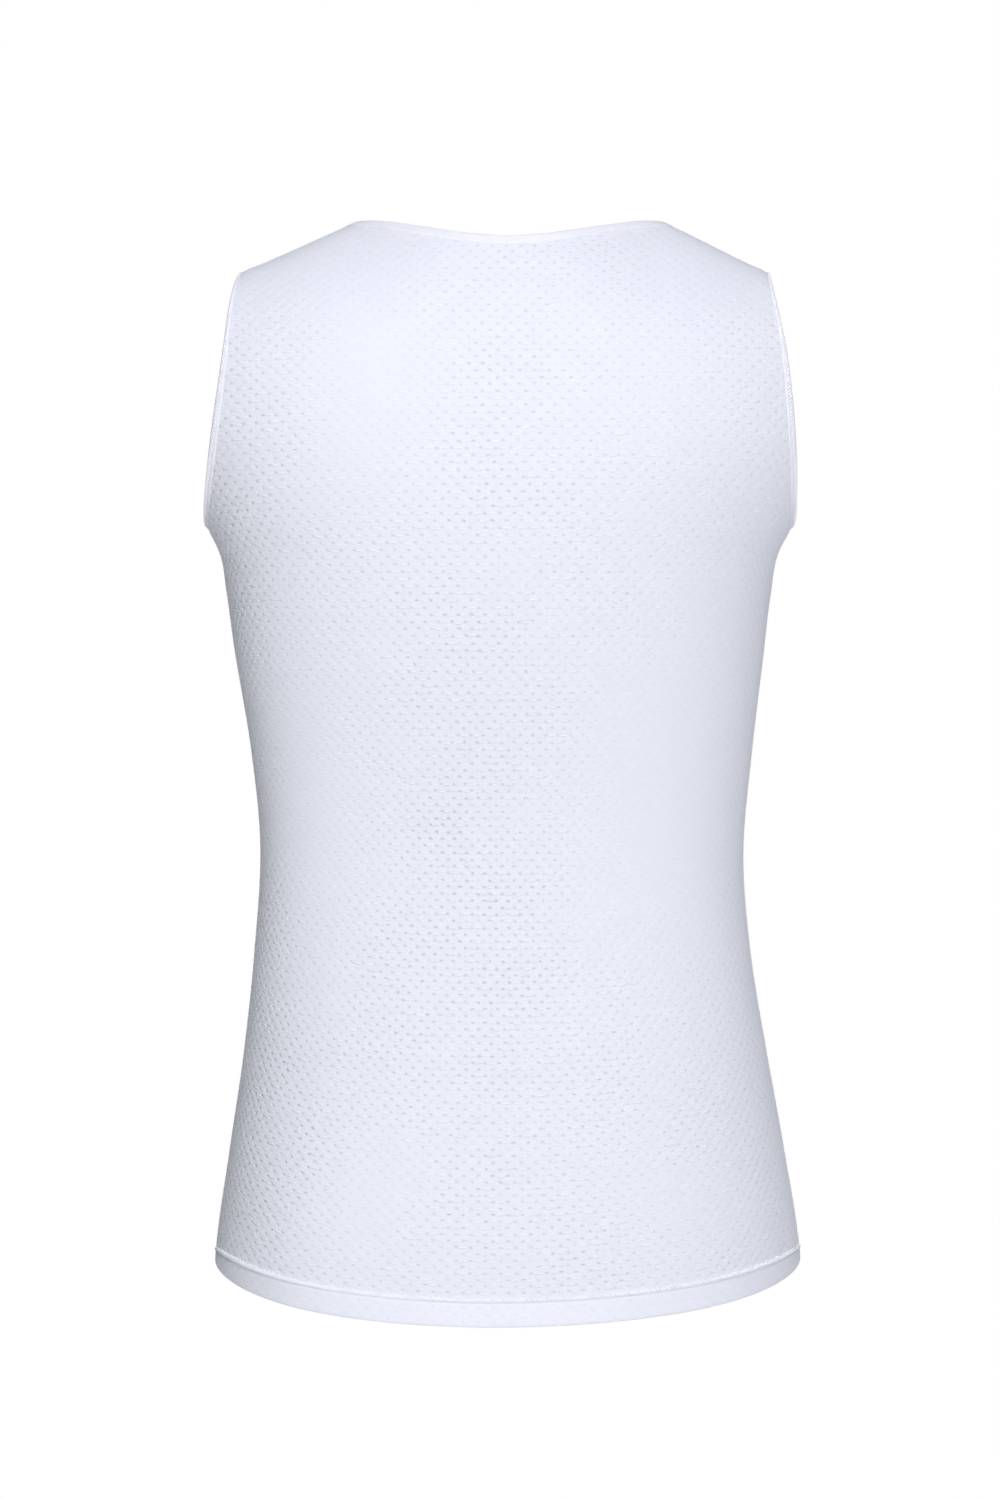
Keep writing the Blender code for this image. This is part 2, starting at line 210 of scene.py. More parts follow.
SECTION_SAMPLES = 500
MERIDIAN_SAMPLES = 260
CHARTED_HEIGHTS = np.linspace(-0.690, 0.018, 237)
YOKE_TOP = 0.015  # first guess of a column's top
YOKE_PASSES = 9  # to find where it really is
SHORTEST_STEP = 0.2  # share of a mesh row, below which the last row is left out
GRADIENT_STEP = 1e-5
SETTLING_STEPS = 6
ON_SEAM = 1e-7  # a point this near to the plane of the seams lies on one


class HemRow(NamedTuple):
    """The cloth of the hem at one distance from its fold, and how far it stands out there."""

    rise: float
    lift: float


HEM = (
    HemRow(0.0168, -0.00125),
    HemRow(0.0162, -0.00105),
    HemRow(0.0130, -0.00100),
    HemRow(0.0090, -0.00100),
    HemRow(0.0050, -0.00105),
    HemRow(0.0020, -0.00115),
    HemRow(0.0008, -0.00105),
    HemRow(0.0002, -0.00070),
    HemRow(0.0000, -0.00035),
    HemRow(0.0003, 0.00000),
    HemRow(0.0010, 0.00022),
    HemRow(0.0024, 0.00030),
    HemRow(0.0044, 0.00028),
    HemRow(0.0066, 0.00030),
    HemRow(0.0088, 0.00032),
    HemRow(0.0106, 0.00030),
    HemRow(0.0120, 0.00024),
    HemRow(0.0128, 0.00020),
    HemRow(0.0133, 0.00016),
    HemRow(0.0137, 0.00012),
    HemRow(0.0141, 0.00012),
    HemRow(0.0145, 0.00018),
    HemRow(0.0150, 0.00030),
    HemRow(0.0158, 0.00040),
    HemRow(0.0167, 0.00030),
    HemRow(0.0176, 0.00008),
    HemRow(0.0187, 0.00000),
)
HEM_INSIDE = 9  # the first rows of these: the turned-up layer, and the fold
INSIDE_ROW = 0.1  # rows of the lattice that they all lie below the first outer one
HEM_DEPTH = 0.0200  # from the fold to the first row of the plain mesh
HEM_PINCH = 0.72  # how much narrower the hem is at the side seams
PINCH_POWER = 3.4
CREASE_RISE = 0.0137  # the crease under the hem's stitching
CREASE_WIDTH = 0.00070
CREASE_CENTRE = 0.00016  # its depth at the middle of the panel
CREASE_FLANK = 0.00300  # and towards the side seams
CREASE_DEEPENS = (0.85, 0.55)  # shares of the figure's depth between which that takes over
CREASE_BEGINS = (0, 0.25)  # and between which the crease begins, off the side seams

TAPE_WIDTH = 0.0070
TAPE_INSET = 0.0008  # how far the finished edge stands out past the cut cloth

# The folded tape round the neck and armholes, in section: distance in from the finished edge, and
# height off the cloth.
TAPE_SECTION = (
    (TAPE_WIDTH, -0.00020),
    (TAPE_WIDTH, 0.00008),
    (0.0068, 0.00026),
    (0.0062, 0.00040),
    (0.0050, 0.00048),
    (0.0036, 0.00054),
    (0.0022, 0.00058),
    (0.0011, 0.00050),
    (0.0004, 0.00024),
    (0.0000, -0.00020),
    (0.0001, -0.00066),
    (0.0006, -0.00100),
    (0.0016, -0.00118),
    (0.0034, -0.00120),
    (0.0060, -0.00112),
    (0.0067, -0.00098),
    (TAPE_WIDTH, -0.00074),
    (TAPE_WIDTH, -0.00050),
    (0.0010, -0.00040),
    (0.0010, -0.00010),
)
TAPE_STEP = 0.0016
NECK_MIDDLE = (0, 0, 0.1)  # a point in the neck's opening
ARMHOLE_OUT = 0.1  # how far out from the underarm the armholes' are
SHOULDER_LEG = 0.28  # share of its width that the armholes' tape shows at the shoulder
LOW_LEG = 0.85  # and lower down
FULL_LEG = 0.75  # how far down the armhole the second share is reached

# Thread. The ones named THREAD are radii, and those named OFF are heights off the cloth.
THREAD = 0.00017
THREAD_SIDES = 5
THREAD_TAPER = 0.55  # share of its radius at its ends

# A stitch from end to end: share of its length, and height off the cloth in radii.
STITCH = ((0, -1.2), (0.12, 0.3), (0.5, 0.9), (0.88, 0.3), (1, -1.2))

NECK_ROW = 0.0058  # the neck's topstitching, in from the finished edge
NECK_ROW_OFF = 0.00040
NECK_ROW_PITCH = 0.0026
NECK_ROW_SHARE = 0.8  # of the pitch that shows as thread

ZIGZAG_LOW = 0.0011  # the armholes' zigzag, in from the finished edge
ZIGZAG_HIGH = 0.0046
ZIGZAG_OFF = 0.00056
ZIGZAG_PITCH = 0.0021
ZIGZAG_LEAN = 0.75  # pitches from a thread's foot to its head
ZIGZAG_THREAD = 0.00040
SEWN_BAND = (0.0042, 0.0024)  # middle and half width of the sewn band across the tape, with painted shade under the zigzag

RIDGE_LOW = 0.0147  # the hem's stitching, a ridge of slanted threads
RIDGE_HIGH = 0.0168
RIDGE_TOP = 0.0180  # the highest that a stray thread reaches
RIDGE_STRAY = 3  # power of the draw that says how far it strays
RIDGE_OFF = 0.00042
RIDGE_SETTLES = (0, 0.4)  # shares of the figure's depth between which it rises to that
RIDGE_PITCH = 0.00105
RIDGE_LEAN = 1.2
RIDGE_THREAD = 0.00056
RIDGE_SAMPLES = 240
RANDOM = np.random.default_rng(7)  # for the stray threads, those of the back first

SEAM_HALF_WIDTH = 0.0028  # flatlock seams
SEAM_STEP = 0.0016
SEAM_FOOT = 0.0006  # how far above the hem's fold a side seam starts
SEAM_END = 0.004  # how far short of the tape a seam ends
SHOULDER_SAMPLES = 44
FLATLOCK_PITCH = 0.0024
FLATLOCK_REACH = 0.85  # of the half width, where a crossing thread goes in
FLATLOCK_RUN = 0.45  # pitches that it covers along the seam
FLATLOCK_OFF = 0.0004


# ---------------------------------------------------------------- the figure


def smoothstep(low, high, value):
    t = np.clip((value - low) / (high - low), 0, 1)
    return t * t * (3 - 2 * t)


def smooth_curve(knots, values, at):
    """Cubic curve through the knots, whose slopes come from the neighbours on both sides."""
    knots, values = np.asarray(knots)[::-1], np.asarray(values)[::-1]
    slopes = np.gradient(values, knots)
    i = np.clip(np.searchsorted(knots, at) - 1, 0, len(knots) - 2)
    span = knots[i + 1] - knots[i]
    t = (at - knots[i]) / span
    start = (1 + 2 * t) * (1 - t) ** 2 * values[i] + t * (1 - t) ** 2 * span * slopes[i]
    end = t * t * (3 - 2 * t) * values[i + 1] - t * t * (1 - t) * span * slopes[i + 1]
    return start + end


def half_width(z):
    return smooth_curve([r.z for r in LEVELS], [r.half_width for r in LEVELS], z)


def centre_depth(side, z):
    depths = [r.back if side == BACK else r.front for r in LEVELS]
    return smooth_curve([r.z for r in LEVELS], depths, z)


def shoulder_line(x):
    """Height of the shoulder line. Inside the neck opening it climbs on towards the neck."""
    inside = np.maximum(NECK_HALF_WIDTH - np.abs(x), 0)
    slope = (NECK_HALF_WIDTH - np.abs(x)) * SHOULDER_SLOPE
    return slope + NECK_CLIMB * inside**2 - CLOTH_DROP


def fullness(x, z):
    """1 where the figure is at its full depth, and 0 at the side and along the shoulder line."""
    across = np.clip(np.abs(x) / half_width(z), 0, 1) ** ROUNDNESS
    below = np.clip((shoulder_line(x) - z) / SHOULDER_ARCH, 0, 1)
    return (1 - across) * (1 - (1 - below) ** ROUNDNESS)


def surface(side, x, z):
    """Points of the cloth at each x and z, as rows of x, y, z."""
    y = side * centre_depth(side, z) * fullness(x, z) ** (1 / ROUNDNESS)
    return np.stack(np.broadcast_arrays(x, y, z), axis=-1)


def level_of(points):
    """Negative inside the figure, 0 on the cloth and positive outside it."""
    x, y, z = points[..., 0], points[..., 1], points[..., 2]
    depth = np.where(y >= 0, centre_depth(BACK, z), centre_depth(FRONT, z))
    across = (np.abs(x) / half_width(z)) ** ROUNDNESS
    above = np.clip(1 - (shoulder_line(x) - z) / SHOULDER_ARCH, 0, None) ** ROUNDNESS
    return (np.abs(y) / depth) ** ROUNDNESS - (1 - across) * (1 - above)


def gradient(points):
    steps = np.eye(3) * GRADIENT_STEP
    rise = [level_of(points + s) - level_of(points - s) for s in steps]
    return np.stack(rise, axis=-1) / (2 * GRADIENT_STEP)


def outward(points):
    slope = gradient(points)
    return slope / np.linalg.norm(slope, axis=-1, keepdims=True)


def settled(points):
    """Points near the cloth, moved onto it."""
    for _ in range(SETTLING_STEPS):
        slope = gradient(points)
        short = level_of(points) / np.sum(slope * slope, axis=-1)
        points = points - slope * short[..., None]
    return points


def neck_height(side, x):
    across = np.clip(np.abs(x) / NECK_HALF_WIDTH, 0, 1)
    if side == BACK:
        wave = (0.5 * (1 + np.cos(math.pi * across))) ** BACK_NECK_FLATNESS
        return -CLOTH_DROP - BACK_NECK_DROP * wave
    return -CLOTH_DROP - FRONT_NECK_DROP * np.sqrt(1 - across**2)


def armhole_x(side, z):
    t = np.clip((TIP_Z - z) / (TIP_Z - UNDERARM_Z), 0, 1)
    reach = UNDERARM_X - SHOULDER_TIP_X
    if side == BACK:
        return SHOULDER_TIP_X + reach * t * (1 + BACK_ARMHOLE_BOW * (1 - t))
    hollow = FRONT_ARMHOLE_HOLLOW * np.sin(math.pi * t)
    return SHOULDER_TIP_X + reach * t**FRONT_ARMHOLE_CURVE - hollow


def running_total(steps):
    return np.concatenate([[0], np.cumsum(steps)])


def arc_along(points):
    """Length along a line of points, up to each of them."""
    return running_total(np.linalg.norm(np.diff(points, axis=0), axis=1))


def at_arc(points, at):
    """Points at those lengths along a line of points."""
    arc = arc_along(points)
    return np.stack([np.interp(at, arc, points[:, k]) for k in range(3)], axis=1)


@functools.lru_cache(maxsize=None)
def section(side, z):
    """x and arc length round the section at height z, from the centre to the side."""
    angle = np.linspace(0, math.pi / 2, SECTION_SAMPLES)
    x = half_width(z) * np.sin(angle) ** (2 / ROUNDNESS)
    y = centre_depth(side, z) * np.abs(np.cos(angle)) ** (2 / ROUNDNESS)
    return x, running_total(np.hypot(np.diff(x), np.diff(y)))


def swelling(x, z):
    """How far the back's cloth stands out over the even figure."""
    out = 0
    for swell in SWELLS:
        far = ((x - swell.x) / swell.wide) ** 2 + ((z - swell.z) / swell.tall) ** 2
        out = out + swell.out * np.exp(-far)
    return out


def leaning(points):
    """Points of the symmetric figure, moved to where the garment stands."""
    x, z = points[..., 0], points[..., 2]
    moved = points.copy()
    moved[..., 0] += smooth_curve([r.z for r in LEANS], [r.aside for r in LEANS], z)
    moved[..., 2] += HEM_HITCH * (smoothstep(*HITCH_ALONG, x) * smoothstep(*HITCH_DOWN, z))
    sunk = smoothstep(*SINK_ALONG, np.abs(x)) - smoothstep(*SINK_END, np.abs(x))
    moved[..., 2] -= SHOULDER_SINK * sunk * smoothstep(*SINK_DOWN, z)
    droop = smoothstep(*DROOP_ALONG, np.abs(x)) * smoothstep(*DROOP_DOWN, z)
    moved[..., 2] -= TIP_DROOP * droop
    moved[..., 1] += swelling(x, z) * smoothstep(0, SWELL_FADE, points[..., 1])
    return moved


# ---------------------------------------------------------------- meshes


def new_mesh(name, points, faces, material, uvs=None):
    """A smooth-shaded piece of the garment, made on the symmetric figure and leant with it."""
    mesh = bpy.data.meshes.new(name)
    mesh.from_pydata([tuple(p) for p in leaning(np.asarray(points))], [], faces)
    if uvs is not None:
        layer = mesh.uv_layers.new(name="cloth")
        corners = np.empty(len(mesh.loops), np.int64)
        mesh.loops.foreach_get("vertex_index", corners)
        layer.data.foreach_set("uv", np.asarray(uvs, float)[corners].ravel())
    mesh.materials.append(material)
    mesh.shade_smooth()
    obj = bpy.data.objects.new(name, mesh)
    bpy.context.scene.collection.objects.link(obj)
    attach(obj, "root")
    return obj


def dimples(column, row):
    """Height of the knit's relief at lattice coordinates: a dimple at each lattice point."""
    wave = np.cos(2 * math.pi * column) * np.cos(2 * math.pi * row)
    return np.where(wave > 0, -DIMPLE * wave, -BRIDGE * wave)


def relief_share(column, row):
    """How much of the relief shows: less in the hem, and where the cloth is pulled flat."""
    share = HEM_RELIEF + (1 - HEM_RELIEF) * smoothstep(*RELIEF_STARTS, row)
    for spot in RELIEF_SPOTS:
        far = ((column - spot.column) / spot.width) ** 2 + ((row - spot.row) / spot.height) ** 2
        share = share * (1 - spot.loss * np.exp(-far))
    return share


def tube_heights(start):
    """Heights of the mesh rows from above the hem's stitching up to the underarm."""
    t = np.linspace(0, 1, LATTICE_ROWS * PER_CELL + 1)
    share = t * (1 - ROW_STRETCH) + ROW_STRETCH * t * t
    return start + (UNDERARM_Z - start) * share


def hem_shape(side, share):
    """The hem at that share of the way round to the side seam: the height of its fold, its depth
    as a share of the full one, and the figure's depth as a share of its full one."""
    x, arc = section(side, -SIDE_LENGTH)
    bulge = fullness(np.interp(share * arc[-1], arc, x), -SIDE_LENGTH) ** (1 / ROUNDNESS)
    drop = BACK_HEM_DROP if side == BACK else FRONT_HEM_DROP
    deep = 1 - HEM_PINCH * (1 - bulge) ** PINCH_POWER
    return -SIDE_LENGTH - drop * bulge**HEM_SWEEP, deep, bulge


def hem_lift(bulge):
    """How far the hem's rows stand off the cloth, with the crease under its stitching."""
    rises = np.array([row.rise for row in HEM])
    depth = CREASE_CENTRE + (CREASE_FLANK - CREASE_CENTRE) * smoothstep(*CREASE_DEEPENS, bulge)
    depth *= smoothstep(*CREASE_BEGINS, bulge)
    crease = depth * np.exp(-(((rises - CREASE_RISE) / CREASE_WIDTH) ** 2))
    crease[:HEM_INSIDE] = 0
    return np.array([row.lift for row in HEM]) - crease


@functools.lru_cache(maxsize=None)
def column_chart(side, share):
    """x of a lattice column at each charted height. Above the underarm it runs straight up."""
    _, arc = section(side, UNDERARM_Z)
    reach = share * arc[-1]
    xs = []
    for level in CHARTED_HEIGHTS:
        x, arc = section(side, level)
        wanted = share * arc[-1] if level < UNDERARM_Z else reach
        xs.append(np.interp(wanted, arc, x))
    return np.array(xs)


def column_x(side, share, z):
    """x of a lattice column at each height."""
    return np.interp(z, CHARTED_HEIGHTS, column_chart(side, share))


def yoke_column(side, share):
    """Points and lattice rows of a column above the underarm, up to where the cloth is cut."""
    eased = 1 - (1 - np.linspace(0, 1, MERIDIAN_SAMPLES)) ** 2
    top = YOKE_TOP
    for _ in range(YOKE_PASSES):
        z = UNDERARM_Z + (top - UNDERARM_Z) * eased
        x = column_x(side, share, z)
        in_neck = x[-1] < NECK_HALF_WIDTH
        top = neck_height(side, x[-1]) if in_neck else shoulder_line(x[-1])
    arc = arc_along(surface(side, x, z))
    over = x - armhole_x(side, z)
    if share >= 1:
        end = 0.0
    elif over.max() > 0 and over[0] < 0:
        k = int(np.argmax(over > 0))
        end = float(np.interp(0, [over[k - 1], over[k]], [arc[k - 1], arc[k]]))
    else:
        end = float(arc[-1])
    step = YOKE_PITCH / PER_CELL
    rows = np.arange(1, int(end / step) + 1) * step
    if len(rows) and end - rows[-1] < SHORTEST_STEP * step:
        rows = rows[:-1]
    rows = np.append(rows, end) if end > 0 else rows[:0]
    points = surface(side, np.interp(rows, arc, x), np.interp(rows, arc, z))
    return points, rows / YOKE_PITCH


def cloth_column(side, share):
    """A column of a panel's mesh, from the raw edge inside the hem to its cut top: its points on
    the figure, their rows of the lattice, and how far the hem's rows stand off the figure."""
    fold, deep, bulge = hem_shape(side, share)
    rises = np.array([row.rise for row in HEM])
    tube_z = tube_heights(fold + HEM_DEPTH * deep)
    z = np.concatenate([fold + rises * deep, tube_z])
    low = surface(side, column_x(side, share, z), z)
    high, yoke_rows = yoke_column(side, share)
    hem_rows = -(HEM_DEPTH - rises) / YOKE_PITCH
    hem_rows[:HEM_INSIDE] = hem_rows[HEM_INSIDE] - INSIDE_ROW
    tube_rows = np.arange(len(tube_z)) / PER_CELL
    rows = np.concatenate([hem_rows, tube_rows, tube_rows[-1] + yoke_rows])
    lift = np.zeros(len(rows))
    lift[: len(HEM)] = hem_lift(bulge)
    return np.concatenate([low, high]), rows, lift


def column_faces(counts):
    """Faces between neighbouring columns of points, from the number of points in each column."""
    faces = []
    starts = np.cumsum([0, *counts])
    for a, b, count_a, count_b in zip(starts, starts[1:], counts, counts[1:]):
        for j in range(max(count_a, count_b) - 1):
            low_a, high_a = min(j, count_a - 1), min(j + 1, count_a - 1)
            low_b, high_b = min(j, count_b - 1), min(j + 1, count_b - 1)
            ring = [a + low_a, b + low_b, b + high_b, a + high_a]
            ring = [k for n, k in enumerate(ring) if k != ring[n - 1]]
            if len(ring) > 2:
                faces.append([int(k) for k in ring])
    return faces


def build_cloth(name, side, material):
    """One panel as a single sheet, worked out for one half and mirrored to the other."""
    steps = LATTICE_COLUMNS * PER_CELL
    points, uvs, lifts, counts = [], [], [], []
    for i in range(steps + 1):
        column, rows, lift = cloth_column(side, i / steps)
        points.append(column)
        uvs.append(np.stack([np.full(len(rows), i / PER_CELL), rows], axis=1))
        lifts.append(lift)
        counts.append(len(column))
    points, uvs, lifts = (np.concatenate(parts) for parts in (points, uvs, lifts))
    normal = outward(points)
    seam = np.abs(points[:, 1]) < ON_SEAM
    normal[seam, 1] = 0
    normal /= np.linalg.norm(normal, axis=1, keepdims=True)
    relief = dimples(*uvs.T) * relief_share(*uvs.T)
    relief[seam] = 0
    points = points + normal * (relief + lifts)[:, None]
    centre, count = counts[0], len(points)
    twin = np.arange(count)
    twin[centre:] += count - centre
    faces = []
    for ring in column_faces(counts):
        other = [int(twin[k]) for k in ring]
        faces += [ring, other[::-1]] if side == FRONT else [ring[::-1], other]
    points = np.concatenate([points, points[centre:] * (-1, 1, 1)])
    uvs = np.concatenate([uvs, uvs[centre:] * (-1, 1)])
    cloth = new_mesh(name, points, faces, material, uvs)
    shown = cloth.data.attributes.new("relief", "FLOAT", "POINT")
    shown.data.foreach_set("value", relief_share(*uvs.T))
    return cloth


# ---------------------------------------------------------------- edges


def neckline(side):
    """The cut edge of a panel's neck, from one high point to the other."""
    swing = math.pi / 2 * (1 - np.linspace(1, 0, SECTION_SAMPLES) ** 2)
    x = NECK_HALF_WIDTH * np.sin(swing)
    half = surface(side, x, neck_height(side, x))
    return np.concatenate([half[::-1] * (-1, 1, 1), half[1:]])


def armhole(side, flank):
    """The cut edge of a panel's armhole, from the shoulder tip down to the underarm."""
    swing = np.linspace(0, math.pi, SECTION_SAMPLES)
    z = TIP_Z + (UNDERARM_Z - TIP_Z) * (1 - np.cos(swing)) / 2
    return surface(side, armhole_x(side, z), z) * (flank, 1, 1)


class Edge:
    """A closed edge at even stations: where it runs, off the cloth, and in towards the cloth."""

    def __init__(self, back, front, step, opening):
        loop = np.concatenate([back, front[::-1][1:]])
        self.length = arc_along(loop)[-1]
        self.count = round(self.length / step)
        stations = np.linspace(0, self.length, self.count + 1)[:-1]
        self.points = settled(at_arc(loop, stations))
        along = np.roll(self.points, -1, axis=0) - np.roll(self.points, 1, axis=0)
        along /= np.linalg.norm(along, axis=1, keepdims=True)
        self.normal = outward(self.points)
        inward = np.cross(self.normal, along)
        inward /= np.linalg.norm(inward, axis=1, keepdims=True)
        self.inward = inward * np.sign(np.sum(inward * (self.points - opening)))
        self.leg_share = np.ones(self.count)

    def offset(self, into, off):
        """Points that far in from the finished edge, and that far off the cloth."""
        into = (into * self.leg_share)[:, None]
        off = (off * np.sqrt(self.leg_share))[:, None]
        footing = settled(self.points + self.inward * (into - TAPE_INSET))
        return footing + outward(footing) * off


def build_tape(name, edge, material):
    """Folded tape along an edge, closed into a ring."""
    rings = [edge.offset(into, off) for into, off in TAPE_SECTION]
    points = np.stack(rings, axis=1).reshape(-1, 3)
    size = len(TAPE_SECTION)
    around = running_total(np.hypot(*np.diff(np.array(TAPE_SECTION), axis=0).T))
    faces, uvs = [], []
    for i in range(edge.count):
        uvs += [(i * edge.length / edge.count, a) for a in around]
        here, following = i * size, (i + 1) % edge.count * size
        for j in range(size):
            k = (j + 1) % size
            faces.append((here + j, here + k, following + k, following + j))
    along = edge.points[1] - edge.points[0]
    if np.dot(np.cross(edge.inward[0], edge.normal[0]), along) < 0:
        faces = [face[::-1] for face in faces]
    return new_mesh(name, points, faces, material, uvs)


# ---------------------------------------------------------------- thread


def tubes(lines, normals, radius):
    """Closed thin tubes along short lines of points, as one set of points and faces."""
    points, faces = [], []
    for line, normal in zip(lines, normals):
        along = np.gradient(line, axis=0)
        along /= np.linalg.norm(along, axis=1, keepdims=True)
        across = np.cross(normal, along)
        across /= np.linalg.norm(across, axis=1, keepdims=True)
        up = np.cross(along, across)
        first = len(points)
        taper = np.ones(len(line))
        taper[[0, -1]] = THREAD_TAPER
        for k in range(THREAD_SIDES):
            turn = 2 * math.pi * k / THREAD_SIDES
            ring = across * math.cos(turn) + up * math.sin(turn)
            points.extend(line + ring * (radius * taper)[:, None])
        size = len(line)
        for k in range(THREAD_SIDES):
            a, b = first + k * size, first + (k + 1) % THREAD_SIDES * size
            for j in range(size - 1):
                faces.append((a + j, a + j + 1, b + j + 1, b + j))
        faces.append([first + k * size for k in range(THREAD_SIDES)])
        faces.append([first + k * size + size - 1 for k in range(THREAD_SIDES)][::-1])
    return points, faces


def stitch_line(start, end, normal, radius):
    """A stitch that comes up out of the cloth, lies on it and goes back in."""
    t, rise = np.array(STITCH).T
    line = start + (end - start) * t[:, None] + normal * (rise * radius)[:, None]
    return line, np.broadcast_to(normal, line.shape)


def build_stitches(name, stitches, material, radius=THREAD):
    """stitches are (start, end, normal); each is one short thread."""
    lines = [stitch_line(*stitch, radius) for stitch in stitches]
    points, faces = tubes([line for line, _ in lines], [n for _, n in lines], radius)
    return new_mesh(name, points, faces, material)


def edge_row(edge, into, off, pitch, share):
    """Straight stitches along an edge."""
    path = edge.offset(into, off)
    path = np.concatenate([path, path[:1]])
    total = arc_along(path)[-1]
    count = round(total / pitch)
    begin = np.arange(count) * total / count
    starts, ends = at_arc(path, begin), at_arc(path, begin + share * total / count)
    return list(zip(starts, ends, outward((starts + ends) / 2)))


def edge_zigzag(edge, low, high, off, pitch, lean):
    """Slanted stitches between two distances in from an edge."""
    near, far = edge.offset(low, off), edge.offset(high, off)
    near, far = (np.concatenate([p, p[:1]]) for p in (near, far))
    total_near, total_far = arc_along(near)[-1], arc_along(far)[-1]
    count = round(total_near / pitch)
    at = np.arange(count) / count
    starts = at_arc(near, at * total_near)
    ends = at_arc(far, np.clip(at + lean / count, 0, 1) * total_far)
    return list(zip(starts, ends, outward((starts + ends) / 2)))


def hem_path(side, rise, off):
    """The line round a panel that far above the hem's fold, and that far off the cloth."""
    share = np.linspace(0, 1, RIDGE_SAMPLES)
    fold, deep, bulge = hem_shape(side, share)
    z = fold + rise * deep
    xs = np.array([column_x(side, s, h) for s, h in zip(share, z)])
    half = surface(side, xs, z)
    normal = outward(half)
    normal[-1] = normal[-1] * (1, 0, 1)
    half = half + normal * (off * smoothstep(*RIDGE_SETTLES, bulge))[:, None]
    return np.concatenate([half[::-1] * (-1, 1, 1), half[1:]])


def ridge_stitches(low, high, top, pitch, lean):
    """Slanted stitches side by side, from one line along the hem to between two others."""
    count = round(arc_along(low)[-1] / pitch)
    at = (np.arange(count) + 0.5) / count
    starts = at_arc(low, at * arc_along(low)[-1])
    leant = np.clip(at + lean / count, 0, 1)
    near, far = (at_arc(path, leant * arc_along(path)[-1]) for path in (high, top))
    ends = near + (far - near) * RANDOM.random(count)[:, None] ** RIDGE_STRAY
    return list(zip(starts, ends, outward((starts + ends) / 2)))


# ---------------------------------------------------------------- seams


def side_seam(flank):
    z = np.arange(-SIDE_LENGTH + SEAM_FOOT, UNDERARM_Z - SEAM_END, SEAM_STEP)
    return np.stack([flank * half_width(z), 0 * z, z], axis=1)


def shoulder_seam(flank):
    x = np.linspace(NECK_HALF_WIDTH + SEAM_END, SHOULDER_TIP_X - SEAM_END, SHOULDER_SAMPLES)
    return np.stack([flank * x, 0 * x, shoulder_line(x)], axis=1)


# A flatlock strip in section: share of its half width, and height off the cloth.
FLATLOCK_SECTION = (
    (-1.00, -0.00005),
    (-0.92, 0.00022),
    (-0.60, 0.00034),
    (-0.12, 0.00040),
    (0.00, 0.00030),
    (0.12, 0.00040),
    (0.60, 0.00034),
    (0.92, 0.00022),
    (1.00, -0.00005),
)


def beside(seam, across):
    """Points on the cloth that share of a flatlock strip's half width to one side of a seam."""
    return settled(seam + np.array([0, across * SEAM_HALF_WIDTH, 0]))


def build_flatlock(name, seam, material, thread):
    """A flat seam strip over the join of two panels, with its crossing threads."""
    rows = [beside(seam, across) for across, _ in FLATLOCK_SECTION]
    rows = [row + outward(row) * off for row, (_, off) in zip(rows, FLATLOCK_SECTION)]
    points = np.stack(rows, axis=1).reshape(-1, 3)
    size = len(FLATLOCK_SECTION)
    arc = arc_along(seam)
    uvs = [(a, across * SEAM_HALF_WIDTH) for a in arc for across, _ in FLATLOCK_SECTION]
    faces = []
    for i in range(len(seam) - 1):
        for j in range(size - 1):
            a = i * size + j
            faces.append((a, a + 1, a + size + 1, a + size))
    b, c, d = points[1], points[0], points[size]
    if np.dot(np.cross(b - c, d - c), outward(seam[:1])[0]) < 0:
        faces = [face[::-1] for face in faces]
    strip = new_mesh(name, points, faces, material, uvs)
    total = arc[-1]
    count = round(total / FLATLOCK_PITCH)
    at = np.arange(count) * total / count
    stitches = []
    for turn, reach in ((0, FLATLOCK_REACH), (0.5, -FLATLOCK_REACH)):
        begin = at_arc(seam, at + turn * total / count)
        end = at_arc(seam, np.minimum(at + (turn + FLATLOCK_RUN) * total / count, total))
        start, stop = beside(begin, -reach), beside(end, reach)
        normal = outward((start + stop) / 2)
        lift = normal * FLATLOCK_OFF
        stitches += list(zip(start + lift, stop + lift, normal))
    return strip, build_stitches(f"{name}_thread", stitches, thread)


# ---------------------------------------------------------------- materials


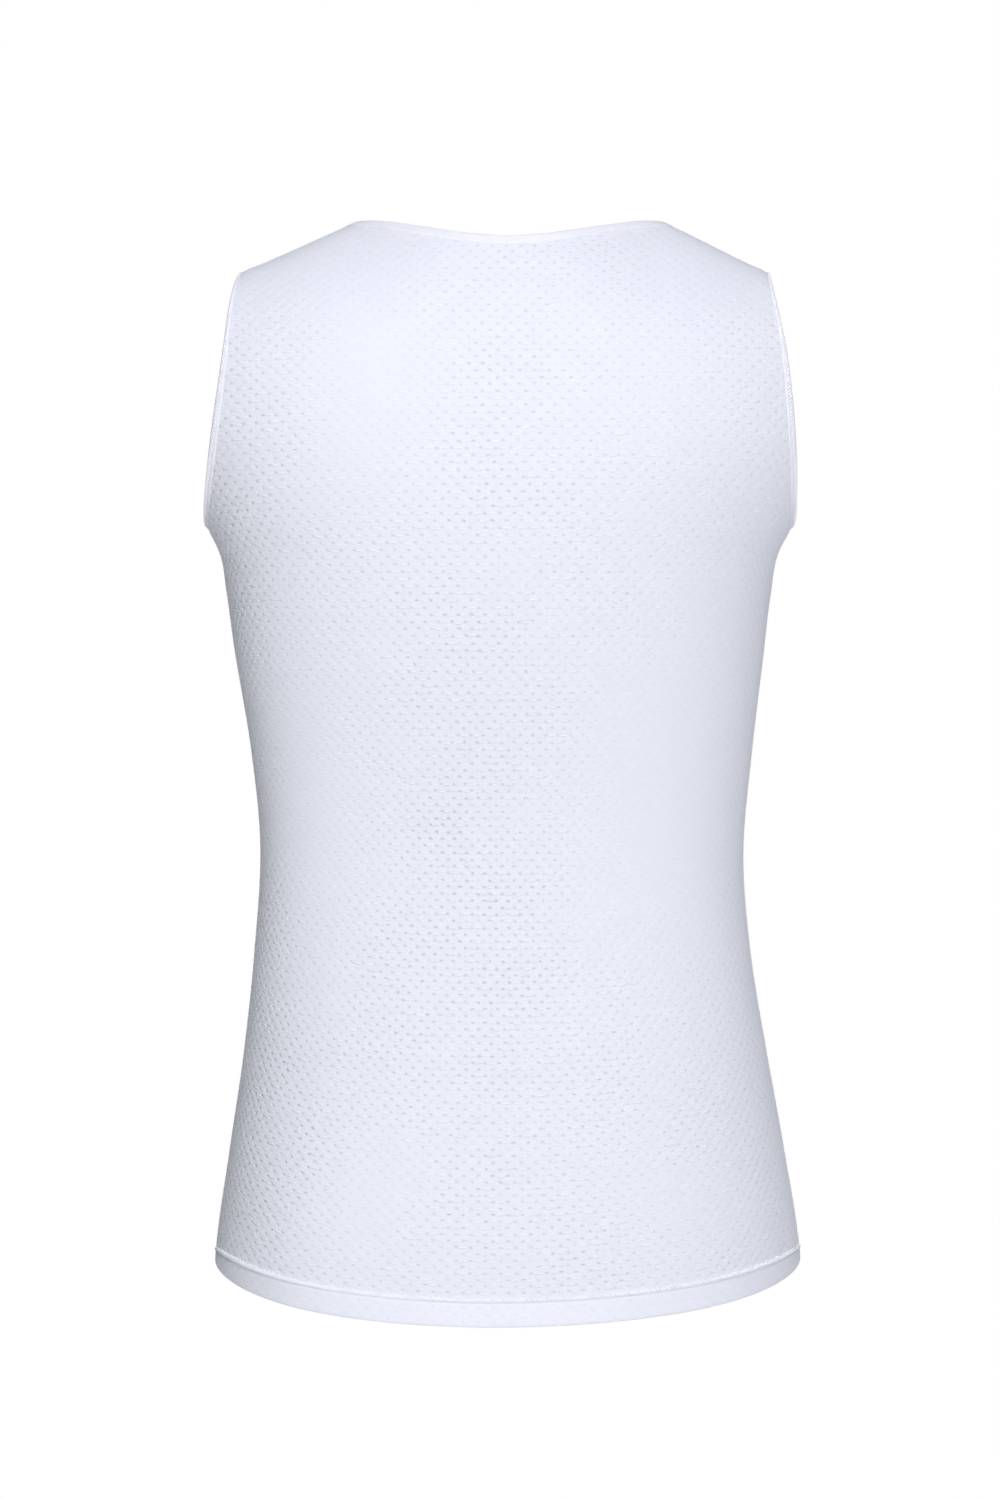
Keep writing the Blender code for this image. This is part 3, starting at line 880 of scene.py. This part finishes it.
class Nodes:
    """A material's node tree, with short calls for the nodes used here."""

    def __init__(self, name, colour, roughness):
        self.colour = colour
        self.material = bpy.data.materials.new(name)
        self.material.use_nodes = True
        self.tree = self.material.node_tree
        self.shader = self.tree.nodes["Principled BSDF"]
        self.shader.inputs["Base Color"].default_value = (*colour, 1)
        self.shader.inputs["Roughness"].default_value = roughness

    def node(self, kind, **settings):
        node = self.tree.nodes.new(kind)
        for key, value in settings.items():
            setattr(node, key, value)
        return node

    def link(self, source, target):
        self.tree.links.new(source, target)

    def math(self, operation, *values, clamp=False):
        """A Math node on sockets and numbers."""
        node = self.node("ShaderNodeMath", operation=operation, use_clamp=clamp)
        for socket, value in zip(node.inputs, values):
            if isinstance(value, (int, float)):
                socket.default_value = value
            else:
                self.link(value, socket)
        return node.outputs[0]

    def scaled(self, value, by, plus, clamp=False):
        """The value times one number or socket, plus another."""
        return self.math("MULTIPLY_ADD", value, by, plus, clamp=clamp)

    def cosine(self, turns):
        return self.math("COSINE", self.math("MULTIPLY", turns, 2 * math.pi))

    def uv(self):
        """The cloth's own coordinates: cells of the knit's lattice, or metres on tape."""
        split = self.node("ShaderNodeSeparateXYZ")
        self.link(self.node("ShaderNodeUVMap", uv_map="cloth").outputs[0], split.inputs[0])
        return split.outputs[0], split.outputs[1]

    def vector(self, x, y):
        joined = self.node("ShaderNodeCombineXYZ")
        self.link(x, joined.inputs[0])
        self.link(y, joined.inputs[1])
        return joined.outputs[0]

    def noise(self, vector, noise):
        node = self.node("ShaderNodeTexNoise")
        self.link(vector, node.inputs["Vector"])
        node.inputs["Scale"].default_value = noise.scale
        node.inputs["Detail"].default_value = noise.detail
        node.inputs["Roughness"].default_value = noise.roughness
        return node.outputs["Fac"]

    def tint(self, factor):
        """The material's colour times a factor, as its base colour."""
        node = self.node("ShaderNodeMix", data_type="RGBA", blend_type="MULTIPLY")
        node.inputs["Factor"].default_value = 1
        node.inputs["A"].default_value = (*self.colour, 1)
        grey = self.node("ShaderNodeCombineColor")
        for socket in grey.inputs:
            self.link(factor, socket)
        self.link(grey.outputs[0], node.inputs["B"])
        self.link(node.outputs["Result"], self.shader.inputs["Base Color"])

    def bump(self, height, distance, strength):
        node = self.node("ShaderNodeBump")
        node.inputs["Strength"].default_value = strength
        node.inputs["Distance"].default_value = distance
        self.link(height, node.inputs["Height"])
        self.link(node.outputs["Normal"], self.shader.inputs["Normal"])

    def sheen(self, weight, roughness):
        self.shader.inputs["Sheen Weight"].default_value = weight
        self.shader.inputs["Sheen Roughness"].default_value = roughness
        self.shader.inputs["Specular IOR Level"].default_value = CLOTH_SPECULAR


KNIT_WHITE = (0.832, 0.842, 0.918)
TAPE_WHITE = (0.885, 0.878, 0.945)
THREAD_WHITE = (0.935, 0.935, 0.99)
CLOTH_SPECULAR = 0.3


class Noise(NamedTuple):
    """A noise texture: its scale, in lumps to a unit, and how finely and roughly it breaks up."""

    scale: float
    detail: float = 2
    roughness: float = 0.5


# The knit's coordinates are cells of its lattice.
WOBBLE_ALONG = Noise(1.7, 1)
WOBBLE_UP = Noise(1.3, 1)
WOBBLE = 0.2  # cells
DRIFT = Noise(0.9, 1)
PATCHES = Noise(0.16, 3, 0.6)
EACH_PORE = Noise(2.3, 1)
EACH_FLOAT = Noise(1.1, 1)
STREAKS = Noise(1.0, 3, 0.7)
STREAK_SCALE = (1.1, 7)  # units of the streaks' noise to a cell, along and up
WALES = Noise(1.0, 2, 0.6)
WALE_SCALE = (6, 1.3)

# What a noise is multiplied by and what is added, to make how much of something shows.
DRIFT_SHARE = (1.6, -0.8)
PATCH_SHARE = (1.6, 0.15)
PORE_SHARE = (2.4, -0.2)
FLOAT_SHARE = (3.6, -1.2)
DOUBLED = (-4, -1.2)  # the same for the lattice's rows, to make 1 in the doubled hem

# How sharply each mark of the knit is drawn in along u and v, in the exponent of lattice_marks.
PORE = (5.0, 15.0)
FLOAT = (1.4, 34.0)
FLOAT_SHADE = (1.4, 9.0)

# What each mark adds to the shade of the white. Painted shade darkens each pore's dimple.
PORE_PAINTED_SHADE = -0.135
# painted highlight along each float
FLOAT_PAINTED_HIGHLIGHT = 0.17
# painted shadow in thin lines above and below each float
FLOAT_PAINTED_SHADOW = -0.10
STREAK_TONE = (0.05, -0.025)
PATCH_TONE = (0.02, -0.01)
HEM_PALER = 0.06  # at the middle of the panel
HEM_FLANK_PAINTED_SHADE = -0.14  # painted shade that is added to that out at the side seams

# What each adds to the height of the bump.
PORE_HEIGHT = -1.3
STREAK_HEIGHT = 0.6
WALE_HEIGHT = 0.9
KNIT_BUMP = 0.00045

# The tape's coordinates are metres along it and across it.
RIB_PITCH = 0.0007
RIB_TONE = 0.008
PICK_PITCH = 0.0009
PICK_HEIGHT = 0.3
TAPE_GRAIN = Noise(900, 3)
GRAIN_TONE = (0.05, 0.97)
TAPE_BUMP = 0.00005
# painted shade under the armholes' zigzag stitches
SEWN_BAND_PAINTED_SHADE = -0.03
SEWN_EDGE = 4  # how sharply the sewn band ends

TWIST = Noise(2600, 2)  # of the thread, to a metre
TWIST_TONE = (0.1, 0.95)
TWIST_BUMP = 0.00006


def lattice_marks(nodes, cos_u, cos_v, sharpness, between):
    """1 at each lattice point, or at the points halfway between them, and 0 a little way off.

    The lattice is a square one with a point in the middle of each square. exp(-a sin2(pi u) - b
    sin2(pi v)) marks the corners, and the same with cosines marks the middles."""
    a, b = sharpness
    along = nodes.math("MULTIPLY", cos_u, -a / 2 if between else a / 2)
    both = nodes.scaled(cos_v, b / 2, along)
    return nodes.math("MULTIPLY", nodes.math("COSH", both), 2 * math.exp(-(a + b) / 2))


def stretched_noise(nodes, u, v, scale, noise):
    along, up = (nodes.math("MULTIPLY", value, by) for value, by in zip((u, v), scale))
    return nodes.noise(nodes.vector(along, up), noise)


def mesh_knit():
    """White stretch knit with painted shade in a pore at each lattice point, and a painted
    highlight with painted shadow on the float between.
    """
    nodes = Nodes("mesh_knit_cloth", KNIT_WHITE, roughness=0.85)
    nodes.sheen(weight=0.12, roughness=0.5)
    u, v = nodes.uv()
    cells = nodes.vector(u, v)
    wobble = nodes.math("SUBTRACT", nodes.noise(cells, WOBBLE_ALONG), 0.5)
    u = nodes.scaled(wobble, WOBBLE, u)
    wobble = nodes.math("SUBTRACT", nodes.noise(nodes.vector(v, u), WOBBLE_UP), 0.5)
    v = nodes.scaled(wobble, WOBBLE, v)
    drift = nodes.scaled(nodes.noise(cells, DRIFT), *DRIFT_SHARE)
    drifted = nodes.math("ADD", v, nodes.math("MULTIPLY", drift, WOBBLE))
    cos_u, cos_v, cos_drifted = (nodes.cosine(turns) for turns in (u, v, drifted))
    pore = lattice_marks(nodes, cos_u, cos_v, PORE, False)
    strand = lattice_marks(nodes, cos_u, cos_drifted, FLOAT, True)
    shadow = lattice_marks(nodes, cos_u, cos_drifted, FLOAT_SHADE, True)

    patch = nodes.noise(cells, PATCHES)
    shown = nodes.node("ShaderNodeAttribute", attribute_name="relief").outputs["Fac"]
    shown = nodes.math("MULTIPLY", shown, nodes.scaled(patch, *PATCH_SHARE))
    share = nodes.scaled(nodes.noise(cells, EACH_PORE), *PORE_SHARE, clamp=True)
    pores = nodes.math("MULTIPLY", nodes.math("MULTIPLY", pore, share), shown)
    share = nodes.scaled(nodes.noise(cells, EACH_FLOAT), *FLOAT_SHARE, clamp=True)
    share = nodes.math("MULTIPLY", share, shown)
    strands = nodes.math("MULTIPLY", strand, share)
    shadows = nodes.math("MULTIPLY", nodes.math("SUBTRACT", shadow, strand), share)
    streak = stretched_noise(nodes, u, v, STREAK_SCALE, STREAKS)
    wales = stretched_noise(nodes, u, v, WALE_SCALE, WALES)

    # Painted shade in the pores, a painted highlight on each float with painted shadow beside it,
    # then random streaks and patches of tone.
    shade = nodes.scaled(pores, PORE_PAINTED_SHADE, 1)
    shade = nodes.scaled(strands, FLOAT_PAINTED_HIGHLIGHT, shade)
    shade = nodes.scaled(shadows, FLOAT_PAINTED_SHADOW, shade)
    shade = nodes.math("ADD", shade, nodes.scaled(streak, *STREAK_TONE))
    shade = nodes.math("ADD", shade, nodes.scaled(patch, *PATCH_TONE))
    # The doubled hem is paler at the middle of the panel, with painted shade out at the side
    # seams.
    doubled = nodes.scaled(v, *DOUBLED, clamp=True)
    far = nodes.math("MULTIPLY", u, u)
    hem_tone_and_shade = nodes.scaled(far, HEM_FLANK_PAINTED_SHADE / LATTICE_COLUMNS**2, HEM_PALER)
    nodes.tint(nodes.scaled(doubled, hem_tone_and_shade, shade))

    height = nodes.scaled(pores, PORE_HEIGHT, strands)
    height = nodes.scaled(streak, STREAK_HEIGHT, height)
    height = nodes.scaled(nodes.math("MULTIPLY", wales, shown), WALE_HEIGHT, height)
    nodes.bump(height, KNIT_BUMP, strength=1)
    return nodes.material


def elastic_tape(name, sewn):
    """Smooth elastic tape with fine ribs along it, and painted shade under the zigzag where it is
    sewn.
    """
    nodes = Nodes(name, TAPE_WHITE, roughness=0.55)
    nodes.sheen(weight=0.1, roughness=0.4)
    u, v = nodes.uv()
    ribs = nodes.math("SINE", nodes.math("MULTIPLY", v, 2 * math.pi / RIB_PITCH))
    picks = nodes.math("SINE", nodes.math("MULTIPLY", u, 2 * math.pi / PICK_PITCH))
    grain = nodes.noise(nodes.vector(u, v), TAPE_GRAIN)
    shade = nodes.scaled(ribs, RIB_TONE, nodes.scaled(grain, *GRAIN_TONE))
    # Painted shade in the band under the zigzag stitches.
    if sewn:
        middle, half = SEWN_BAND
        off = nodes.math("ABSOLUTE", nodes.math("SUBTRACT", v, middle))
        off = nodes.math("POWER", nodes.math("DIVIDE", off, half), SEWN_EDGE)
        band = nodes.math("SUBTRACT", 1, off, clamp=True)
        shade = nodes.scaled(band, SEWN_BAND_PAINTED_SHADE, shade)
    nodes.tint(shade)
    height = nodes.math("ADD", nodes.scaled(picks, PICK_HEIGHT, ribs), grain)
    nodes.bump(height, TAPE_BUMP, strength=0.5)
    return nodes.material


def sewing_thread():
    nodes = Nodes("sewing_thread", THREAD_WHITE, roughness=0.5)
    nodes.sheen(weight=0.15, roughness=0.35)
    place = nodes.node("ShaderNodeTexCoord").outputs["Object"]
    twist = nodes.noise(place, TWIST)
    nodes.tint(nodes.scaled(twist, *TWIST_TONE))
    nodes.bump(twist, TWIST_BUMP, strength=0.6)
    return nodes.material


# ---------------------------------------------------------------- the stage

MIDDLE = (0, 0, -0.34)  # of the garment, which all the lights face
FLOOR_Z = -1.45
FLOOR_RADIUS = 3.6
FLOOR_SIDES = 96
FLOOR_TONE = (0.86, 0.87, 0.89)
FLOOR_GREY = (0.8, 0.8, 0.8)
AMBIENT = 0.035
AMBIENT_COLOUR = (1, 0.9, 0.85)


class Light(NamedTuple):
    """A soft light that adds that share of full white to a surface that faces it.

    Azimuth is measured from the camera's side of the garment, towards the picture's right."""

    name: str
    azimuth: float
    elevation: float
    distance: float
    size: float
    share: float
    colour: tuple


LIGHTS = (
    Light("key", 12, 15, 3.2, 1.8, 0.64, (0.96, 0.97, 1)),
    Light("fill", -38, 15, 3.0, 1.8, 0.26, (0.96, 0.99, 1)),
    Light("rim", 105, 0, 3.0, 1.8, 0.18, (0.88, 0.94, 1)),
    Light("top", 0, 80, 3.2, 1.8, 0.36, (0.92, 0.95, 1)),
    Light("far_side", 180, 10, 3.2, 1.2, 0.75, (0.97, 0.985, 1)),
)


def build_light(light):
    turn, rise = math.radians(light.azimuth), math.radians(light.elevation)
    level = math.cos(rise)
    way = Vector((-math.sin(turn) * level, math.cos(turn) * level, math.sin(rise)))
    data = bpy.data.lights.new(light.name, "AREA")
    data.shape = "DISK"
    data.size = light.size
    data.energy = light.share * math.pi**2 * light.distance**2
    data.color = light.colour
    lamp = bpy.data.objects.new(light.name, data)
    lamp.location = Vector(MIDDLE) + way * light.distance
    lamp.rotation_euler = way.to_track_quat("Z", "Y").to_euler()
    lamp.visible_camera = False
    bpy.context.scene.collection.objects.link(lamp)


def split_view(tree, seen, cast, output):
    """Gives an output one shader for the camera's own view, and one for the light it casts."""
    path = tree.nodes.new("ShaderNodeLightPath")
    mix = tree.nodes.new("ShaderNodeMixShader")
    tree.links.new(path.outputs["Is Camera Ray"], mix.inputs[0])
    tree.links.new(cast.outputs[0], mix.inputs[1])
    tree.links.new(seen.outputs[0], mix.inputs[2])
    tree.links.new(mix.outputs[0], tree.nodes[output].inputs["Surface"])


def pale_floor():
    """Pale to the camera, and matt and grey to the light that it throws back."""
    nodes = Nodes("pale_floor", FLOOR_GREY, roughness=0.9)
    glow = nodes.node("ShaderNodeEmission")
    glow.inputs["Color"].default_value = (*FLOOR_TONE, 1)
    split_view(nodes.tree, glow, nodes.shader, "Material Output")
    return nodes.material


def build_floor():
    turns = [2 * math.pi * k / FLOOR_SIDES for k in range(FLOOR_SIDES)]
    rim = [(FLOOR_RADIUS * math.cos(t), FLOOR_RADIUS * math.sin(t), FLOOR_Z) for t in turns]
    mesh = bpy.data.meshes.new("studio_floor")
    mesh.from_pydata(rim, [], [list(range(FLOOR_SIDES))])
    mesh.materials.append(pale_floor())
    floor = bpy.data.objects.new("studio_floor", mesh)
    bpy.context.scene.collection.objects.link(floor)


def build_world():
    """White behind the garment, and a faint warm light on it from all round."""
    world = bpy.data.worlds.new("studio")
    bpy.context.scene.world = world
    world.use_nodes = True
    backdrop = world.node_tree.nodes["Background"]
    backdrop.inputs["Color"].default_value = (1, 1, 1, 1)
    backdrop.inputs["Strength"].default_value = 1
    ambient = world.node_tree.nodes.new("ShaderNodeBackground")
    ambient.inputs["Color"].default_value = (*AMBIENT_COLOUR, 1)
    ambient.inputs["Strength"].default_value = AMBIENT
    split_view(world.node_tree, backdrop, ambient, "World Output")


def build_camera():
    """Level with the middle of the picture, and square to the garment's back."""
    data = bpy.data.cameras.new("camera")
    data.sensor_fit = "VERTICAL"
    data.sensor_height = SENSOR
    data.lens = SENSOR * CAMERA_DISTANCE / (PHOTO_HEIGHT * METRES_PER_PIXEL)
    camera = bpy.data.objects.new("camera", data)
    aside = (GARMENT_AXIS_PIXEL - PHOTO_WIDTH / 2) * METRES_PER_PIXEL
    height = (SHOULDER_PIXEL - PHOTO_HEIGHT / 2) * METRES_PER_PIXEL
    camera.location = (aside, CAMERA_DISTANCE, height)
    camera.rotation_euler = (math.pi / 2, 0, math.pi)
    bpy.context.scene.collection.objects.link(camera)
    bpy.context.scene.camera = camera


# ---------------------------------------------------------------- the garment


def build_garment():
    """All the pieces. Returns the two cloths by side."""
    knit, thread = mesh_knit(), sewing_thread()
    tape, sewn_tape = elastic_tape("elastic_tape", False), elastic_tape("sewn_tape", True)
    cloths = {}
    for side, hand in ((BACK, "back"), (FRONT, "front")):
        cloth = build_cloth(f"{hand}_cloth", side, knit)
        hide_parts(f"{hand}_panel")
        cloths[side] = cloth
    neck = Edge(neckline(BACK), neckline(FRONT), TAPE_STEP, np.array(NECK_MIDDLE))
    neck_tape = build_tape("neck_tape", neck, tape)
    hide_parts("neck_binding")
    neck_stitches = edge_row(neck, NECK_ROW, NECK_ROW_OFF, NECK_ROW_PITCH, NECK_ROW_SHARE)
    row = build_stitches("neck_topstitch", neck_stitches, thread)
    for flank, hand in ((1, "left"), (-1, "right")):
        opening = np.array([flank * (UNDERARM_X + ARMHOLE_OUT), 0, (TIP_Z + UNDERARM_Z) / 2])
        edge = Edge(armhole(BACK, flank), armhole(FRONT, flank), TAPE_STEP, opening)
        down = (TIP_Z - edge.points[:, 2]) / (TIP_Z - UNDERARM_Z)
        edge.leg_share = SHOULDER_LEG + (LOW_LEG - SHOULDER_LEG) * smoothstep(0, FULL_LEG, down)
        armhole_tape = build_tape(f"armhole_tape_{hand}", edge, sewn_tape)
        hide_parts(f"armhole_binding_{hand}")
        sizes = ZIGZAG_LOW, ZIGZAG_HIGH, ZIGZAG_OFF, ZIGZAG_PITCH, ZIGZAG_LEAN
        slants = edge_zigzag(edge, *sizes)
        zigzag = build_stitches(f"armhole_zigzag_{hand}", slants, thread, ZIGZAG_THREAD)
        for name, seam in (("side", side_seam(flank)), ("shoulder", shoulder_seam(flank))):
            for piece in build_flatlock(f"{name}_flatlock_{hand}", seam, tape, thread):
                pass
    for side, hand in ((BACK, "back"), (FRONT, "front")):
        rises = (RIDGE_LOW, RIDGE_HIGH, RIDGE_TOP)
        paths = [hem_path(side, rise, RIDGE_OFF) for rise in rises]
        stitches = ridge_stitches(*paths, RIDGE_PITCH, RIDGE_LEAN)
        row = build_stitches(f"{hand}_hem_stitches", stitches, thread, RIDGE_THREAD)
    return cloths


def declare_sheets(cloths):
    """Works out each panel's length down its middle as it was cut, which nothing uses further.
    The body stretches a panel round itself, and hardly along itself.
    """
    for side, cloth in cloths.items():
        neck = float(neck_height(side, 0))
        down = np.linspace(neck, hem_shape(side, 0)[0], SHEET_SAMPLES)
        length = -neck + arc_along(surface(side, 0 * down, down))[-1] + HEM[0].rise


bpy.context.scene.view_settings.view_transform = "Standard"
build_camera()
build_world()
for light in LIGHTS:
    build_light(light)
build_floor()
cloths = build_garment()
declare_sheets(cloths)
